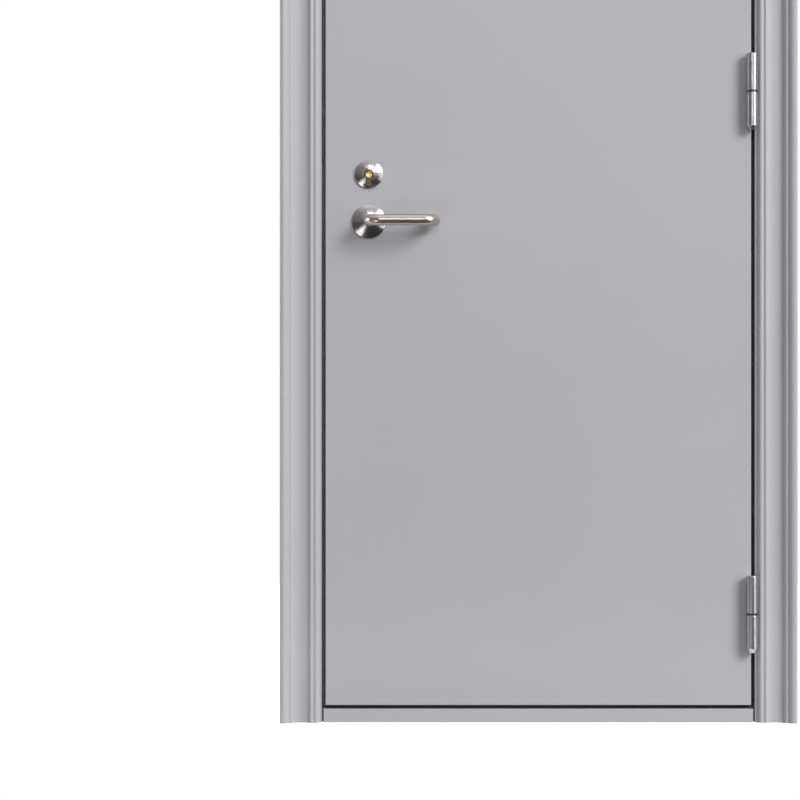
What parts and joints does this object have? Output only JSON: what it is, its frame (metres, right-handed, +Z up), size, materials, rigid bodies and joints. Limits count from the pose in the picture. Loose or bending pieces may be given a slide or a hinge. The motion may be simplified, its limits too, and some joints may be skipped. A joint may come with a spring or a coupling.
{
  "type": "fire door",
  "caption": "Flush grey steel fire door in a moulded steel frame, with barrel hinges, return levers, key cylinders and a raised threshold.",
  "frame": {"origin": "middle of the underside of the threshold, on the floor", "axes": "+Z up, +X towards the hinges as seen from the front, +Y back through the wall, so the front with the barrel hinges faces -Y"},
  "size_m": [1, 0.182, 2.1],
  "materials": {
    "grey_powder_coat": "satin powder coat with a faint orange peel",
    "graphite_seal": "matte",
    "satin_steel": "satin",
    "bright_steel": "bright ground",
    "dark_steel": "dark oxide",
    "zinc_steel": "dull zinc plate",
    "mineral_board": "matte board",
    "polished_steel": "polished",
    "brass": "satin"
  },
  "bodies": {
    "frame": {"hinge_jamb": "grey_powder_coat", "lock_jamb": "grey_powder_coat", "head": "grey_powder_coat", "threshold": "grey_powder_coat", "hinge_seal": "graphite_seal", "lock_seal": "graphite_seal", "head_seal": "graphite_seal", "hinge_low_frame_half": "satin_steel", "hinge_low_pin": "bright_steel", "hinge_low_washer": "dark_steel", "hinge_side_anchor_low": "zinc_steel", "lock_side_anchor_low": "zinc_steel", "hinge_mid_frame_half": "satin_steel", "hinge_mid_pin": "bright_steel", "hinge_mid_washer": "dark_steel", "hinge_side_anchor_mid": "zinc_steel", "lock_side_anchor_mid": "zinc_steel", "hinge_top_frame_half": "satin_steel", "hinge_top_pin": "bright_steel", "hinge_top_washer": "dark_steel", "hinge_side_anchor_top": "zinc_steel", "lock_side_anchor_top": "zinc_steel", "strike_plate": "satin_steel", "strike_box": "zinc_steel"},
    "leaf": {"front_skin": "grey_powder_coat", "back_skin": "grey_powder_coat", "leaf_core": "mineral_board", "lock_forend": "satin_steel", "lock_case": "zinc_steel", "latch_bolt": "bright_steel", "dead_bolt": "bright_steel", "front_lever_rose": "polished_steel", "back_lever_rose": "polished_steel", "front_cylinder_rose": "polished_steel", "back_cylinder_rose": "polished_steel", "lock_cylinder": "brass", "hinge_low_leaf_half": "satin_steel", "hinge_mid_leaf_half": "satin_steel", "hinge_top_leaf_half": "satin_steel"},
    "handle": {"front_lever": "polished_steel", "back_lever": "polished_steel", "spindle": "zinc_steel"}
  },
  "joints": [
    {"name": "leaf_swing", "type": "hinge", "parent": "frame", "child": "leaf", "pos_m": [0.4123, -0.061, 0], "axis": [0, 0, 1], "range_deg": [0, 170]},
    {"name": "lever_turn", "type": "hinge", "parent": "leaf", "child": "handle", "pos_m": [-0.328, -0.0225, 0.9695], "axis": [0, 1, 0], "range_deg": [0, 45], "stiffness_Nm_per_rad": 1.2, "springref_deg": -40.11}
  ]
}
